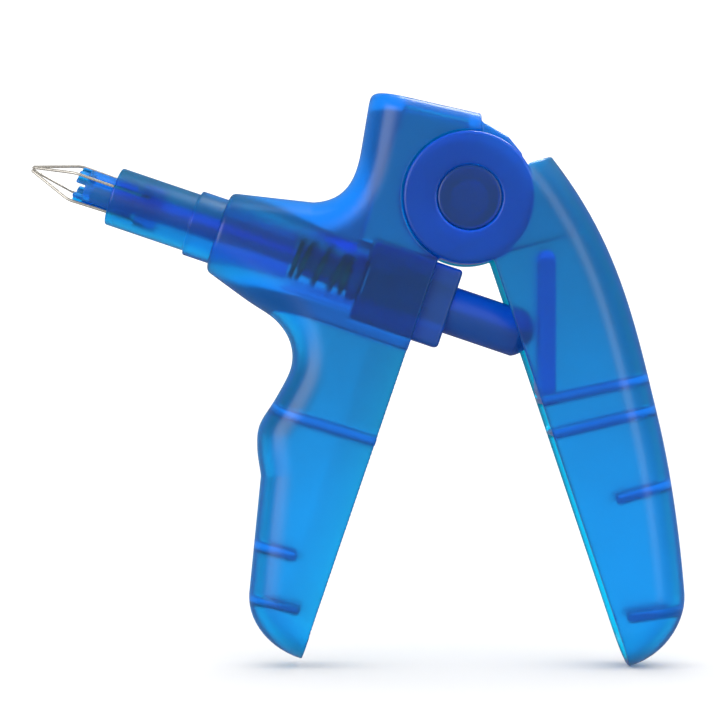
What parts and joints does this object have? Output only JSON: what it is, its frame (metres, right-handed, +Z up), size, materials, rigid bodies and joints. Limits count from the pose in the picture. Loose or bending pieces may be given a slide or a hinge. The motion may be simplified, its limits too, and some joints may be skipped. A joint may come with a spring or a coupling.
{
  "type": "orthodontic ligature gun",
  "caption": "Squeeze gun for elastic ligatures: pistol body, hinged rear lever, push rod, castellated core and spring wires that spread at the nozzle.",
  "frame": {"origin": "on the lever pivot's axis, at the flat outer side face that the gun lies on", "axes": "+X from the nose towards the rear lever, +Y out of the side face that the gun lies on, +Z up along the handles towards the hub"},
  "size_m": [0.1241, 0.016, 0.1086],
  "materials": {
    "body_plastic": "translucent blue moulded plastic with a soft frosted surface",
    "nozzle_plastic": "translucent blue moulded plastic",
    "pin_plastic": "deep blue moulded plastic",
    "plunger_plastic": "deep blue moulded plastic",
    "spring_steel": "drawn spring steel",
    "wire_steel": "bright drawn stainless wire"
  },
  "bodies": {
    "frame": {"front_body": "body_plastic", "guide_bush": "plunger_plastic", "nozzle_tube": "nozzle_plastic", "wire_holder": "pin_plastic", "return_spring": "spring_steel"},
    "lever": {"rear_lever": "body_plastic", "pivot_pin": "pin_plastic", "pivot_cap": "pin_plastic"},
    "plunger": {"push_rod": "plunger_plastic", "plunger_core": "plunger_plastic"},
    "wire_1": {"wire_1": "wire_steel"},
    "wire_2": {"wire_2": "wire_steel"},
    "wire_3": {"wire_3": "wire_steel"},
    "wire_4": {"wire_4": "wire_steel"}
  },
  "joints": [
    {"name": "lever_squeeze", "type": "hinge", "parent": "frame", "child": "lever", "pos_m": [0, -0.008, 0], "axis": [0, 1, 0], "range_deg": [0, 15], "stiffness_Nm_per_rad": 0.6, "springref_deg": -5.73},
    {"name": "plunger_slide", "type": "slide", "parent": "frame", "child": "plunger", "axis": [-0.9469, 0, 0.3214], "range_m": [0, 0.006], "deforming": ["return_spring"]},
    {"name": "wire_1_spread", "type": "hinge", "parent": "frame", "child": "wire_1", "pos_m": [-0.05969, -0.00647, 0.00148], "axis": [-0.1409, 0.8988, -0.4151], "range_deg": [0, 5.3]},
    {"name": "wire_2_spread", "type": "hinge", "parent": "frame", "child": "wire_2", "pos_m": [-0.06021, -0.01115, -0.00004], "axis": [0.2889, 0.4384, 0.8511], "range_deg": [0, 5.3]},
    {"name": "wire_3_spread", "type": "hinge", "parent": "frame", "child": "wire_3", "pos_m": [-0.06171, -0.00953, -0.00448], "axis": [0.1409, -0.8988, 0.4151], "range_deg": [0, 5.3]},
    {"name": "wire_4_spread", "type": "hinge", "parent": "frame", "child": "wire_4", "pos_m": [-0.0612, -0.00485, -0.00295], "axis": [-0.2889, -0.4384, -0.8511], "range_deg": [0, 5.3]}
  ],
  "couplings": [
    {"joint": "plunger_slide", "follows": "lever_squeeze", "m_per_rad": 0.0225},
    {"joint": "wire_1_spread", "follows": "lever_squeeze", "ratio": 0.35},
    {"joint": "wire_2_spread", "follows": "lever_squeeze", "ratio": 0.35},
    {"joint": "wire_3_spread", "follows": "lever_squeeze", "ratio": 0.35},
    {"joint": "wire_4_spread", "follows": "lever_squeeze", "ratio": 0.35}
  ]
}
